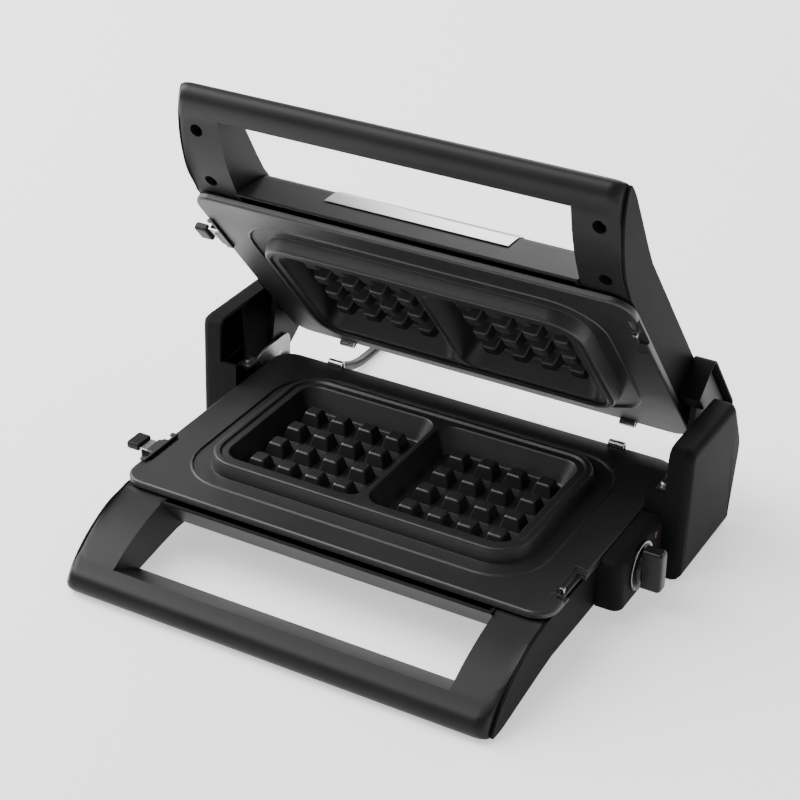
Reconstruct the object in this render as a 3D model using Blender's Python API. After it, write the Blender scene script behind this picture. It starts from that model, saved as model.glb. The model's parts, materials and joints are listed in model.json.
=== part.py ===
"""A twin waffle multi grill: two plate carriers with handles, joined by hinges in tall housings.

Metres, +Z up, +X to the right and +Y to the back. The origin is on the table, under the middle.
The lower half and the lid share one drawing: x across, y back from the plates' front edge and
z up from the table. The lid is that drawing turned over and swung open on its hinge.
"""

import math

import bmesh
import bpy
from mathutils import Vector

for old in list(bpy.data.objects):
    bpy.data.objects.remove(old, do_unlink=True)

# Fits that every piece shares
gap = 0.0003  # between pieces that touch
slack = 0.0005  # round a piece that slides or turns
overrun = 0.004  # how far a cutter runs past what it cuts

# The plates, seen from above
plate_width = 0.300
plate_depth = 0.190
plate_corner = 0.014
plate_edge = 0.0043  # thickness at the rim
plate_edge_round = 0.0014
plate_wall = 0.0035  # thickness of the casting elsewhere
bead_inset_x = 0.0243
bead_inset_y = 0.0184
bead_width = 0.0022
bead_rise = 0.0008
field_drop = 0.0006  # of the plate inside the bead, below its rim
bead_corner = 0.034
lip_rise = 0.0090
lip_run_x = 0.0390  # plate edge to the raised lip, at the two ends
lip_run_y = 0.0337  # the same, at the front and back
lip_width = 0.0102
lip_corner = 0.021
lip_foot = 0.0027
crest_width = 0.0034
crest_step = 0.0014  # from the lip's crest down to the ledge inside it
lip_round = 0.0011
cavity_corner = 0.011
cavity_depth = 0.0165
cavity_draft_share = 0.0712
divider_width = 0.0050
stud_base_share = 0.1444
stud_top_share = 0.0936
stud_height = 0.0088
stud_round = 0.0009
stud_pitch_x_share = 0.2096
stud_pitch_y_share = 0.2123
stud_shift_share = 0.0285  # of each grid, towards its end of the plate
stud_columns = 4
stud_rows = 4

# The carriers that hold the plates
rim_height = 0.0403
floor_height = 0.0110
shell_wall = 0.0022
carrier_inset = 0.0040  # half the width inside the side covers
cover_sheet = 0.0017
carrier_back_inset = 0.0020
nose_front = -0.0050
nose_back = 0.0260
arm_end = 0.0300  # where the handle's arms stop, under the plate
tray_sheet = 0.0008
tray_flange_inset = 0.0040
tray_well_inset_x = 0.0360
tray_well_inset_y = 0.0300
tray_draft = 0.0030
element_radius = 0.0033
element_inset = 0.0620
element_half_depth = 0.0330
element_bend = 0.0150
terminal_spread = 0.0240
terminal_length = 0.0130
terminal_bend = 0.0045
terminal_clearance = 0.0016
post_radius = 0.0045
post_inset = 0.0700
post_reach_y = 0.0500

# Handles
handle_reach = 0.0690
bar_back = 0.0555  # crest of the cross bar, in front of the plate
bar_toe = 0.0310  # foot of its rear face
bar_toe_height = 0.0060
arm_width = 0.0295
handle_round = 0.0010
handle_corner = 0.0080  # how far in from each end the nose starts to round off
screw_hole_inset = 0.0125
screw_hole_outer = 0.0470
screw_hole_inner = 0.0090
screw_hole_radius = 0.0044
screw_hole_depth = 0.0090
screw_head_radius = 0.0034
screw_head = 0.0022
screw_shank_radius = 0.0015
screw_shank = 0.0080

# Feet under the lower handle and the hinge housings
foot_height = 0.0010
foot_radius = 0.0055
foot_front_inset = 0.0160
foot_front_share = 0.797
foot_rear_inset = 0.0085
foot_rear_ahead = 0.0164

# Hinge and its housings
lip_gap = 0.0010  # between the two lips with the lid shut
hinge_inset = 0.0016
hinge_rise = 0.0024
lid_open = math.radians(51.6)
pin_radius = 0.0030
pin_head_radius = 0.0055
pin_head = 0.0018
housing_clearance = 0.0025
housing_step_depth = 0.0127
housing_depth = 0.0280
housing_step_height = 0.0600
housing_height = 0.0910
housing_foot_ahead = 0.0589
housing_top_ahead = 0.0544
housing_crown_behind = 0.0186
housing_hip_behind = 0.0346
housing_hip_height = 0.0550
housing_foot_behind = 0.0226
housing_wall = 0.0025
housing_corner = 0.0080
housing_edge = 0.0060
housing_open_behind = 0.0106
column_inset = 0.0048
column_ahead = 0.0349
column_half = 0.0044
column_rise = 0.0094
rib_sheet = 0.0018
bracket_sheet = 0.0018
bracket_eye = 0.0125
bracket_ahead = 0.0414
bracket_ear_ahead = 0.0274
bracket_ear = 0.0022
bracket_foot_ahead = 0.0224
bracket_foot_behind = 0.0116
bracket_foot_height = 0.0140
arm_sheet = 0.0040
arm_eye = 0.0090
arm_ahead = 0.0369
arm_behind = 0.0116
arm_top = 0.0120
arm_root_drop = 0.0043
hinge_cover_shy = 0.0007
hinge_cover_ahead = 0.0514
hinge_cover_behind = 0.0166
hinge_cover_top = 0.0086
hinge_cover_drop = 0.0013  # its mouth, under the carrier's rim
hinge_cover_wall = 0.0018
hinge_cover_corner = 0.0060
hinge_cover_ledge = 0.0140

# Thermostat and its box on the right side
box_ahead = 0.1198
box_length = 0.0602
box_rise = 0.0054
box_depth = 0.0165
box_edge = 0.0060
box_wall = 0.0020
box_edge_wall = 0.0036  # beside the rounded edges
dial_run = 0.0292
dial_radius = 0.0160
dial_hole = 0.0080
dial_sheet = 0.0006
knob_radius = 0.0105
knob_base = 0.0026
knob_length = 0.0155
knob_grip_length = 0.0280
knob_grip_width = 0.0095
knob_grip_round = 0.0022
shaft_radius = 0.0030
shaft_length_in_knob = 0.0065
thermostat_side = 0.0200
thermostat_depth = 0.0095
bush_radius = 0.0050
lens_run = 0.0504
lens_drop = 0.0018
lens_radius = 0.0027
lens_proud = 0.0008
lens_length = 0.0055
lamp_radius = 0.0021
lamp_length = 0.0070

# Plate release on the left side, and the clips that hold the plate at the back
notch_front = 0.0225
notch_back = 0.0560
notch_depth = 0.0032
latch_pocket = 0.0085  # how deep the latch's slot goes into the plate's edge
notch_ledge = 0.0016
right_notch_front = 0.0200
right_notch_back = 0.0500
right_notch_depth = 0.0055
lid_notch_shift = 0.0095  # further back in the lid
lid_latch_shift = 0.0165
latch_middle = 0.0415
button_length = 0.0145
latch_sheet = 0.0010
latch_bite = 0.0035
latch_web_reach = 0.0105
latch_stem_drop = 0.0033
latch_stem_inset = 0.0115
latch_stem_half = 0.0060
button_width = 0.0103
button_lift = 0.0012
button_height = 0.0055
button_round = 0.0016
spring_room = 0.0155
spring_radius = 0.0024
spring_wire = 0.00035
spring_turns = 5
clip_inset = 0.0440
clip_width = 0.0110
clip_sheet = 0.0010
clip_bite = 0.0022
clip_rise = 0.0035
clip_drop = 0.0130

# Steel panel let into the lid's top
panel_half_share = 0.42
panel_sheet = 0.0006
panel_back_inset = 0.0180
panel_start_share = 0.60  # of the nose's slope, from its foot at the rim

# Power cord, its strain relief, its coil and its plug
cord_radius = 0.0035
relief_inset = 0.0140
relief_z = 0.0170
relief_length = 0.0300
relief_root_radius = 0.0058
relief_tip_radius = 0.0041
relief_collar = 0.0035
relief_neck_radius = 0.0037
relief_ribs = 5
coil_x = -0.0875
coil_y = 0.2640
coil_radius = 0.0455
coil_step = 0.0076  # from one turn to the next, sideways and upwards
coil_turns = 4.25
coil_points = 24
climb_turns = 0.5  # over which the coil climbs to its second layer
climb_middle_share = 0.5
tie_sheet = 0.0008
tie_width = 0.0120
tail_run = 0.0360
plug_radius = 0.0185
plug_body = 0.0240
plug_neck = 0.0230
plug_neck_radius = 0.0060
plug_flange_round = 0.0020
plug_pin_radius = 0.0024
plug_pin_length = 0.0190
plug_pin_spread = 0.0190

# Where the grill stands, and the sizes that follow from the others
plate_front = -0.0872
cavity_across = plate_width / 2 - lip_run_x - lip_width - divider_width / 2
cavity_along = plate_depth - (lip_run_y + lip_width) * 2
cavity_least = min(cavity_across, cavity_along)
carrier_half = plate_width / 2 - carrier_inset
cover_half = carrier_half + gap + cover_sheet
element_reach = plate_width / 2 - element_inset
post_reach_x = plate_width / 2 - post_inset
window_half = carrier_half - arm_width
screw_hole_x = carrier_half - screw_hole_inset
foot_front_x = carrier_half - foot_front_inset
housing_inner = cover_half + housing_clearance
housing_step_x = housing_inner + housing_step_depth
housing_outer = housing_inner + housing_depth
column_x = housing_inner + column_inset
foot_rear_x = housing_outer - foot_rear_inset
hinge_back = plate_depth - hinge_inset
foot_rear_y = hinge_back - foot_rear_ahead
housing_front_foot = hinge_back - housing_foot_ahead
housing_front_top = hinge_back - housing_top_ahead
housing_crown_back = hinge_back + housing_crown_behind
housing_hip_back = hinge_back + housing_hip_behind
housing_back_foot = hinge_back + housing_foot_behind
housing_rear_open = hinge_back + housing_open_behind
column_y = hinge_back - column_ahead
bracket_front = hinge_back - bracket_ahead
bracket_ear_end = hinge_back - bracket_ear_ahead
bracket_foot_front = hinge_back - bracket_foot_ahead
bracket_foot_back = hinge_back + bracket_foot_behind
arm_front = hinge_back - arm_ahead
arm_back = hinge_back + arm_behind
hinge_cover_front = hinge_back - hinge_cover_ahead
hinge_cover_back = hinge_back + hinge_cover_behind
hinge_cover_outer = housing_step_x - hinge_cover_shy
hinge_cover_base = cover_half + gap
hinge_cover_low = rim_height - hinge_cover_drop
arm_root = rim_height - arm_root_drop
box_front = hinge_back - box_ahead
box_back = box_front + box_length
box_outer = cover_half + box_depth
dial_y = box_front + dial_run
lens_y = box_front + lens_run
knob_outer = box_outer + knob_length
latch_web_x = plate_width / 2 + latch_web_reach
latch_stem_end = plate_width / 2 - latch_stem_inset
button_outer = latch_web_x + button_width
spring_end = latch_stem_end - spring_room
clip_x = plate_width / 2 - clip_inset
panel_back = plate_depth - panel_back_inset
panel_half = plate_width / 2 * panel_half_share
relief_x = relief_inset - carrier_half
latch_stem_height = rim_height - latch_stem_drop
button_low = rim_height + button_lift
button_high = button_low + button_height
box_top = rim_height + box_rise
dial_z = (floor_height + box_top) / 2
lens_z = rim_height - lens_drop
hinge_height = rim_height + hinge_rise
column_height = rim_height + column_rise
stud_base = cavity_least * stud_base_share
stud_top = cavity_least * stud_top_share
stud_pitch_x = cavity_across * stud_pitch_x_share
stud_pitch_y = cavity_along * stud_pitch_y_share
stud_shift = cavity_across * stud_shift_share
cavity_draft = cavity_least * cavity_draft_share
plate_top = rim_height + gap + tray_sheet + gap + plate_edge
plate_under = plate_top - plate_edge
lip_top = plate_top + lip_rise
cavity_floor = lip_top - cavity_depth
pad_under = cavity_floor - plate_wall
closed_height = lip_top * 2 + lip_gap
carrier_back = plate_depth - carrier_back_inset
tray_floor_top = pad_under - element_radius * 2 - gap * 2
tray_floor_under = tray_floor_top - tray_sheet
middle_y = plate_depth / 2
corner_steps = 6
dial_sides = 36
round_sides = 20
small_sides = 12

# Outlines as shares of the sizes that they follow, chosen by hand
crown_shares = (
    (-0.029, 1.000), (0.030, 0.958), (0.260, 0.866), (0.510, 0.722), (0.660, 0.602),
    (0.720, 0.548), (0.804, 0.474), (0.928, 0.396), (0.980, 0.300), (1.000, 0.175),
)
keel_shares = (
    (0.968, 0.066), (0.900, 0.028), (0.700, 0.032), (0.420, 0.115), (0.030, 0.226), (-0.170, 0.272),
)
end_crown_shares = (
    (-0.029, 1.000), (0.050, 0.970), (0.200, 0.935), (0.330, 0.868), (0.450, 0.772),
    (0.565, 0.668), (0.670, 0.545), (0.770, 0.405), (0.860, 0.235), (0.905, 0.100),
)
end_keel_shares = (
    (0.895, 0.040), (0.840, 0.024), (0.700, 0.032), (0.420, 0.115), (0.030, 0.226), (-0.170, 0.272),
)
nose_shares = (
    (0.000, 1.000), (0.000, 0.965), (0.585, 0.190), (0.665, 0.110), (0.750, 0.052), (0.860, 0.012),
    (1.000, 0.000),
)
screw_dome_share = 0.8
knob_taper_share = 0.94
lens_dome_share = 0.6
lamp_shares = ((1.0, 0.7), (0.8, 1.0), (0.3, 1.0), (0.0, 0.5))
plug_neck_shares = ((0.0, 0.8), (0.5, 1.0), (0.8, 1.5))

MATERIALS = {
    "black_plastic": ((0.018, 0.018, 0.019), 0.42, 0.0),
    "gloss_plastic": ((0.014, 0.014, 0.015), 0.22, 0.0),
    "nonstick": ((0.022, 0.022, 0.023), 0.48, 0.2),
    "brushed_steel": ((0.62, 0.62, 0.62), 0.34, 1.0),
    "bright_steel": ((0.55, 0.56, 0.57), 0.25, 1.0),
    "pressed_steel": ((0.42, 0.42, 0.41), 0.45, 1.0),
    "reflector_metal": ((0.50, 0.50, 0.50), 0.40, 1.0),
    "element_metal": ((0.24, 0.23, 0.21), 0.50, 1.0),
    "print_ring": ((0.016, 0.016, 0.017), 0.35, 0.0),
    "red_lens": ((0.45, 0.02, 0.015), 0.15, 0.0),
    "lamp_glass": ((0.75, 0.72, 0.66), 0.10, 0.0),
    "ceramic": ((0.70, 0.67, 0.60), 0.60, 0.0),
    "rubber": ((0.020, 0.020, 0.020), 0.80, 0.0),
    "cord_sheath": ((0.016, 0.016, 0.017), 0.50, 0.0),
    "tie_strap": ((0.030, 0.030, 0.032), 0.70, 0.0),
}


def material(kind):
    """The named finish, made the first time that it is asked for."""
    found = bpy.data.materials.get(kind)
    if found:
        return found
    colour, roughness, metallic = MATERIALS[kind]
    made = bpy.data.materials.new(kind)
    made.use_nodes = True
    shader = made.node_tree.nodes["Principled BSDF"]
    shader.inputs["Base Color"].default_value = (*colour, 1)
    shader.inputs["Roughness"].default_value = roughness
    shader.inputs["Metallic"].default_value = metallic
    made.diffuse_color = (*colour, 1)
    return made


# Placing pieces


def pivot(name, place, turn):
    """An empty on a joint's axis, for pieces to hang on."""
    empty = bpy.data.objects.new(name, None)
    empty.location = place
    empty.rotation_euler = turn
    bpy.context.scene.collection.objects.link(empty)
    return empty


lid_pivot = pivot("lid_pivot", (0, plate_front + hinge_back, hinge_height), (-lid_open, 0, 0))


def lower_place(point):
    """The drawing's point, in the lower half."""
    return Vector((point[0], point[1] + plate_front, point[2]))


def lid_place(point):
    """The drawing's point turned over, measured from the lid's hinge."""
    return Vector((point[0], point[1] - hinge_back, closed_height - point[2] - hinge_height))


LOWER = ("lower", lower_place, None)
LID = ("upper", lid_place, lid_pivot)


def put(name, data, kind, half, origin):
    made = bpy.data.objects.new(name, data)
    made.location = half[1](origin)
    made.parent = half[2]
    data.materials.append(material(kind))
    bpy.context.scene.collection.objects.link(made)
    return made


def add(name, shape, kind, half=LOWER, origin=(0, 0, 0), smooth=35):
    """An object from a drawn shape, with its origin at a point of the drawing."""
    place = half[1]
    start = place(origin)
    for vertex in shape.verts:
        vertex.co = place(vertex.co) - start
    bmesh.ops.recalc_face_normals(shape, faces=shape.faces[:])
    mesh = bpy.data.meshes.new(name)
    shape.to_mesh(mesh)
    shape.free()
    mesh.shade_smooth()
    mesh.set_sharp_from_angle(angle=math.radians(smooth))
    return put(name, mesh, kind, half, origin)


def add_tube(name, points, radius, kind, half=LOWER, resolution=2):
    """A round bar or cord along drawn points."""
    curve = bpy.data.curves.new(name, "CURVE")
    curve.dimensions = "3D"
    curve.bevel_depth = radius
    curve.bevel_resolution = resolution
    curve.use_fill_caps = True
    line = curve.splines.new("POLY")
    line.points.add(len(points) - 1)
    for spot, point in zip(line.points, points):
        spot.co = (*half[1](point), 1)
        spot.radius = 1
    made = bpy.data.objects.new(name, curve)
    made.parent = half[2]
    curve.materials.append(material(kind))
    bpy.context.scene.collection.objects.link(made)
    return made


def combine(target, tool, operation):
    """A Boolean on the target. The tool itself isn't part of the object."""
    change = target.modifiers.new(tool.name, "BOOLEAN")
    change.object = tool
    change.operation = operation
    change.solver = "EXACT"
    tool.hide_render = True
    tool.display_type = "WIRE"


def cut(target, shape, half=LOWER, origin=(0, 0, 0)):
    combine(target, add("cut_" + target.name, shape, "black_plastic", half, origin), "DIFFERENCE")


def join(target, shape, half=LOWER, origin=(0, 0, 0)):
    combine(target, add("join_" + target.name, shape, "black_plastic", half, origin), "UNION")


def soften(target, width, segments=2, angle=40):
    """Rounded edges, after every cut."""
    edge = target.modifiers.new("soften", "BEVEL")
    edge.width = width
    edge.segments = segments
    edge.limit_method = "ANGLE"
    edge.angle_limit = math.radians(angle)
    edge.harden_normals = False


# Drawing shapes


def skin(rings, closed=False):
    """A solid through rings of equally many points, capped at both ends or closed on itself."""
    shape = bmesh.new()
    rows = [[shape.verts.new(point) for point in ring] for ring in rings]
    pairs = list(zip(rows, rows[1:]))
    if closed:
        pairs.append((rows[-1], rows[0]))
    for first, second in pairs:
        for here in range(len(first)):
            after = (here + 1) % len(first)
            shape.faces.new((first[here], first[after], second[after], second[here]))
    if not closed:
        shape.faces.new(rows[0])
        shape.faces.new(rows[-1])
    return shape


def prism(outline, low, high):
    """A (y, z) outline drawn out across x."""
    return skin([[(x, y, z) for y, z in outline] for x in (low, high)])


def block(x0, x1, y0, y1, z0, z1):
    return skin([[(x0, y0, z), (x1, y0, z), (x1, y1, z), (x0, y1, z)] for z in (z0, z1)])


def turned(start, axis, profile, sides):
    """A shape turned about an axis, from (distance, radius) pairs."""
    along = Vector(axis).normalized()
    side = along.orthogonal().normalized()
    other = along.cross(side)
    rings = []
    for distance, radius in profile:
        centre = Vector(start) + along * distance
        ring = []
        for step in range(sides):
            angle = math.tau * step / sides
            ring.append(centre + (side * math.cos(angle) + other * math.sin(angle)) * radius)
        rings.append(ring)
    return skin(rings)


def rod(start, axis, radius, low, high, sides=small_sides):
    return turned(start, axis, ((low, radius), (high, radius)), sides)


def rounded_ring(x0, x1, y0, y1, corner, z):
    """Points round a rectangle with round corners, at one height."""
    centres = (
        (x1 - corner, y1 - corner), (x0 + corner, y1 - corner),
        (x0 + corner, y0 + corner), (x1 - corner, y0 + corner),
    )
    points = []
    for quarter, (x, y) in enumerate(centres):
        for step in range(corner_steps + 1):
            angle = math.pi / 2 * (quarter + step / corner_steps)
            points.append((x + corner * math.cos(angle), y + corner * math.sin(angle), z))
    return points


def plan_ring(inset_x, inset_y, corner, z):
    """A ring that follows the plate's edge at a distance."""
    half = plate_width / 2 - inset_x
    return rounded_ring(-half, half, inset_y, plate_depth - inset_y, corner, z)


def bead_ring(inset, z):
    """A ring of the plate's bead, a distance in from its outer edge."""
    return plan_ring(bead_inset_x + inset, bead_inset_y + inset, bead_corner - inset, z)


def smooth_line(points, steps):
    """A curve through points of any dimension, with evenly spaced steps between them."""
    points = [Vector(point) for point in points]
    ends = [points[0] * 2 - points[1], *points, points[-1] * 2 - points[-2]]
    line = []
    for before, here, after, beyond in zip(ends, ends[1:], ends[2:], ends[3:]):
        for step in range(steps):
            t = step / steps
            line.append(
                here
                + (after - before) * (t / 2)
                + (before * 2 - here * 5 + after * 4 - beyond) * (t * t / 2)
                + (here * 3 - before - after * 3 + beyond) * (t * t * t / 2)
            )
    line.append(points[-1])
    return line


def bent_path(points, radii, steps):
    """Straight runs with a round bend of its own radius at each inner point."""
    points = [Vector(point) for point in points]
    path = [points[0]]
    for before, corner, after, radius in zip(points, points[1:], points[2:], radii):
        reach_in = min(radius, (before - corner).length / 2)
        reach_out = min(radius, (after - corner).length / 2)
        start = corner + (before - corner).normalized() * reach_in
        end = corner + (after - corner).normalized() * reach_out
        for step in range(steps + 1):
            t = step / steps
            path.append(start * (1 - t) ** 2 + corner * (2 * t * (1 - t)) + end * t * t)
    path.append(points[-1])
    return path


def round_outline(points, radii, steps=3):
    """A closed outline with each corner rounded by its own radius."""
    count = len(points)
    outline = []
    for index, radius in enumerate(radii):
        corner = Vector(points[index])
        before = Vector(points[index - 1]) - corner
        after = Vector(points[(index + 1) % count]) - corner
        if not radius:
            outline.append(tuple(corner))
            continue
        turn = before.angle(after)
        reach = min(radius / math.tan(turn / 2), before.length / 2, after.length / 2)
        start = corner + before.normalized() * reach
        end = corner + after.normalized() * reach
        for step in range(steps + 1):
            t = step / steps
            outline.append(tuple(start * (1 - t) ** 2 + corner * (2 * t * (1 - t)) + end * t * t))
    return outline


def inset_outline(points, distance):
    """The outline moved inwards, which for a clockwise one takes a negative distance."""
    moved = []
    count = len(points)
    for index, point in enumerate(points):
        here = Vector(point)
        back = (here - Vector(points[index - 1])).normalized()
        ahead = (Vector(points[(index + 1) % count]) - here).normalized()
        left_back = Vector((-back.y, back.x))
        left_ahead = Vector((-ahead.y, ahead.x))
        middle = (left_back + left_ahead).normalized()
        moved.append(tuple(here + middle * (distance / middle.dot(left_ahead))))
    return moved


# Shapes that both halves share


def side_outline(end, pinch=0):
    """The half's side: crown from the plate to the handle's nose, and back along the keel.

    The pinch goes from 0 in the middle of the handle to 1 at its ends, where the nose is rounded off.
    """
    points = []
    for middle, outer in zip(crown_shares + keel_shares, end_crown_shares + end_keel_shares):
        reach, height = Vector(middle).lerp(Vector(outer), pinch)
        points.append((-handle_reach * reach, rim_height * height))
    line = [tuple(point) for point in smooth_line(points, 2)]
    return [(end, rim_height), *line, (end, floor_height)]


def handle_rings(end):
    """Side outlines across the handle, rounded off towards both ends."""
    rings = []
    steps = 3
    for side in (-1, 1):
        turns = range(steps + 1) if side < 0 else range(steps, -1, -1)
        for step in turns:
            angle = math.pi / 2 * step / steps
            x = side * (carrier_half - handle_corner * (1 - math.cos(angle)))
            rings.append([(x, y, z) for y, z in side_outline(end, 1 - math.sin(angle))])
    return rings


def nose_line():
    """The front wall of the shell between the arms, from the rim to the floor."""
    reach = nose_back - nose_front
    drop = rim_height - floor_height
    return [(nose_front + reach * back, floor_height + drop * up) for back, up in nose_shares]


def shell_outline(nose):
    inner = window_half - gap
    step = arm_end + gap
    return [
        (-inner, nose), (inner, nose), (inner, step), (carrier_half, step),
        (carrier_half, carrier_back), (-carrier_half, carrier_back), (-carrier_half, step), (-inner, step),
    ]


def shell(half, name):
    """The open tray under a plate, with posts for its reflector and a rib behind the latch."""
    outer = [[(x, y, height) for x, y in shell_outline(nose)] for nose, height in reversed(nose_line())]
    lowest = floor_height + shell_wall
    inner = []
    for nose, height in nose_line():
        if height > lowest:
            last = nose
            inner.append([(x, y, height) for x, y in inset_outline(shell_outline(nose), shell_wall)])
    inner.append([(x, y, lowest) for x, y in inset_outline(shell_outline(last), shell_wall)])
    made = add(name, skin(outer + inner), "black_plastic", half)
    for side_x in (-1, 1):
        for side_y in (-1, 1):
            foot = (side_x * post_reach_x, middle_y + side_y * post_reach_y, floor_height + shell_wall / 2)
            join(made, rod(foot, (0, 0, 1), post_radius, 0, tray_floor_under - gap - foot[2]), half)
    middle = latch_spot(half)
    rib = block(
        -spring_end + gap, -spring_end + gap + shell_wall, middle - button_length / 2, middle + button_length / 2,
        floor_height + shell_wall / 2, rim_height - shell_wall,
    )
    join(made, rib, half)
    cut(made, latch_slot(half), half)
    return made


def latch_spot(half):
    """Where the latch's middle lies, which is further back in the lid."""
    return latch_middle + (lid_latch_shift if half is LID else 0)


def latch_slot(half):
    """The way for the latch's stem through the left wall and side cover."""
    middle = latch_spot(half)
    reach = latch_stem_half + slack
    return block(
        -cover_half - overrun, -carrier_half + shell_wall + overrun, middle - reach, middle + reach,
        latch_stem_height - latch_sheet / 2 - slack, latch_stem_height + latch_sheet / 2 + slack,
    )


def handle_frame(half, name):
    """Cross bar and two arms in one moulding."""
    made = add(name, skin(handle_rings(arm_end)), "black_plastic", half)
    high = rim_height + overrun
    bar_crest = crest_height(bar_back)
    window = [
        (-bar_back, high), (-bar_back, bar_crest), (-bar_toe, bar_toe_height), (-bar_toe, -overrun),
        (arm_end + overrun, -overrun), (arm_end + overrun, high),
    ]
    cut(made, prism(window, -window_half, window_half), half)
    return made


def crest_height(reach):
    """Height of the crown at a distance in front of the plate."""
    line = [point for point in side_outline(arm_end) if point[1] > rim_height * crown_shares[-1][1]]
    for first, second in zip(line[1:], line[2:]):
        if -second[0] >= reach:
            share = (reach + first[0]) / (first[0] - second[0])
            return first[1] + (second[1] - first[1]) * share
    return line[-1][1]


def side_cover(half, name, side):
    inner = side * (carrier_half + gap)
    made = add(name, prism(side_outline(carrier_back, 1), inner, side * cover_half), "black_plastic", half)
    if side < 0:
        cut(made, latch_slot(half), half)
    return made


def square_ring(x, y, half_side, z):
    """A stud's outline, a square with its corners taken off."""
    inner = half_side - stud_round
    return [
        (x + half_side, y - inner, z), (x + half_side, y + inner, z), (x + inner, y + half_side, z),
        (x - inner, y + half_side, z), (x - half_side, y + inner, z), (x - half_side, y - inner, z),
        (x - inner, y - half_side, z), (x + inner, y - half_side, z),
    ]


def stud_grid(side):
    """Centres of one cavity's studs."""
    inner = divider_width / 2
    outer = plate_width / 2 - lip_run_x - lip_width
    centre = side * ((inner + outer) / 2 + stud_shift)
    for column in range(stud_columns):
        for row in range(stud_rows):
            x = centre + (column - (stud_columns - 1) / 2) * stud_pitch_x
            y = middle_y + (row - (stud_rows - 1) / 2) * stud_pitch_y
            yield x, y


def plate_shape():
    """The casting: rim, step, raised lip, two cavities of tapered studs, and a hollow underside."""
    shape = bmesh.new()

    def row(points):
        return [shape.verts.new(point) for point in points]

    def band(rings):
        rows = [row(ring) for ring in rings]
        for first, second in zip(rows, rows[1:]):
            for here in range(len(first)):
                after = (here + 1) % len(first)
                shape.faces.new((first[here], first[after], second[after], second[here]))
        return rows[0], rows[-1]

    def fill(loops):
        edges = [shape.edges.get((loop[here - 1], loop[here])) for loop in loops for here in range(len(loop))]
        bmesh.ops.triangle_fill(shape, use_beauty=True, edges=edges, normal=(0, 0, 1))

    hollow_top = lip_top - plate_wall
    lip_end_x = lip_run_x + lip_width
    lip_end_y = lip_run_y + lip_width
    inner_draft = cavity_draft - lip_round
    ledge_top = lip_top - crest_step
    ledge_x = lip_run_x + crest_width + crest_step
    ledge_y = lip_run_y + crest_width + crest_step
    rings = [
        plan_ring(lip_end_x + inner_draft - plate_wall, lip_end_y + inner_draft - plate_wall, cavity_corner, pad_under),
        plan_ring(lip_end_x - plate_wall, lip_end_y - plate_wall, cavity_corner, hollow_top),
        plan_ring(lip_run_x + lip_round, lip_run_y + lip_round, lip_corner - lip_round, hollow_top),
        plan_ring(lip_run_x, lip_run_y, lip_corner, plate_under),
        plan_ring(0, 0, plate_corner, plate_under),
        plan_ring(0, 0, plate_corner, plate_top - plate_edge_round),
        plan_ring(plate_edge_round / 3, plate_edge_round / 3, plate_corner, plate_top - plate_edge_round / 3),
        plan_ring(plate_edge_round, plate_edge_round, plate_corner - plate_edge_round, plate_top),
        bead_ring(0, plate_top),
        bead_ring(bead_width / 3, plate_top + bead_rise),
        bead_ring(bead_width * 2 / 3, plate_top + bead_rise),
        bead_ring(bead_width, plate_top - field_drop),
        plan_ring(lip_run_x - lip_foot, lip_run_y - lip_foot, lip_corner + lip_foot, plate_top - field_drop),
        plan_ring(lip_run_x - lip_foot / 3, lip_run_y - lip_foot / 3, lip_corner + lip_foot / 3, lip_top - lip_round * 2),
        plan_ring(lip_run_x, lip_run_y, lip_corner, lip_top - lip_round / 2),
        plan_ring(lip_run_x + lip_round, lip_run_y + lip_round, lip_corner - lip_round, lip_top),
        plan_ring(lip_run_x + crest_width, lip_run_y + crest_width, lip_corner - crest_width, lip_top),
        plan_ring(ledge_x, ledge_y, lip_corner - crest_width - crest_step, ledge_top),
    ]
    under, crest = band(rings)
    shape.faces.new(under)
    mouths = []
    for side in (-1, 1):
        x0, x1 = sorted((side * divider_width / 2, side * (plate_width / 2 - lip_end_x)))
        y0, y1 = lip_end_y, plate_depth - lip_end_y
        steps = (
            (-lip_round, ledge_top), (0, ledge_top - lip_round), (inner_draft, cavity_floor + lip_round),
            (cavity_draft, cavity_floor),
        )
        walls = [
            rounded_ring(x0 + inset, x1 - inset, y0 + inset, y1 - inset, cavity_corner - inset / 2, z)
            for inset, z in steps
        ]
        mouth, foot = band(walls)
        mouths.append(mouth)
        studs = []
        for x, y in stud_grid(side):
            tops = (
                (stud_base / 2, cavity_floor), (stud_top / 2 + stud_round / 2, cavity_floor + stud_height - stud_round),
                (stud_top / 2 - stud_round / 2, cavity_floor + stud_height),
            )
            base, top = band([square_ring(x, y, reach, z) for reach, z in tops])
            shape.faces.new(top)
            studs.append(base)
        fill([foot, *studs])
    fill([crest, *mouths])
    return shape


def plate(half, name):
    made = add(name, plate_shape(), "nonstick", half)
    side = plate_width / 2
    ledge = plate_under + notch_ledge
    shift = lid_notch_shift if half is LID else 0
    left = block(
        -side - overrun, -side + notch_depth, notch_front + shift, notch_back + shift, ledge, plate_top + overrun,
    )
    cut(made, left, half)
    middle = latch_spot(half)
    reach = latch_stem_half + slack
    pocket = block(
        -side - overrun, -side + latch_pocket, middle - reach, middle + reach, ledge, ledge + latch_sheet + gap * 2,
    )
    cut(made, pocket, half)
    right = block(
        side - right_notch_depth, side + overrun, right_notch_front, right_notch_back, ledge, plate_top + overrun,
    )
    cut(made, right, half)
    for end in (-1, 1):
        x0, x1 = sorted((end * (clip_x - clip_width / 2 - slack), end * (clip_x + clip_width / 2 + slack)))
        pocket = block(
            x0, x1, plate_depth - clip_bite - clip_sheet - slack, plate_depth + overrun, ledge, plate_top + overrun,
        )
        cut(made, pocket, half)
    return made


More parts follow.
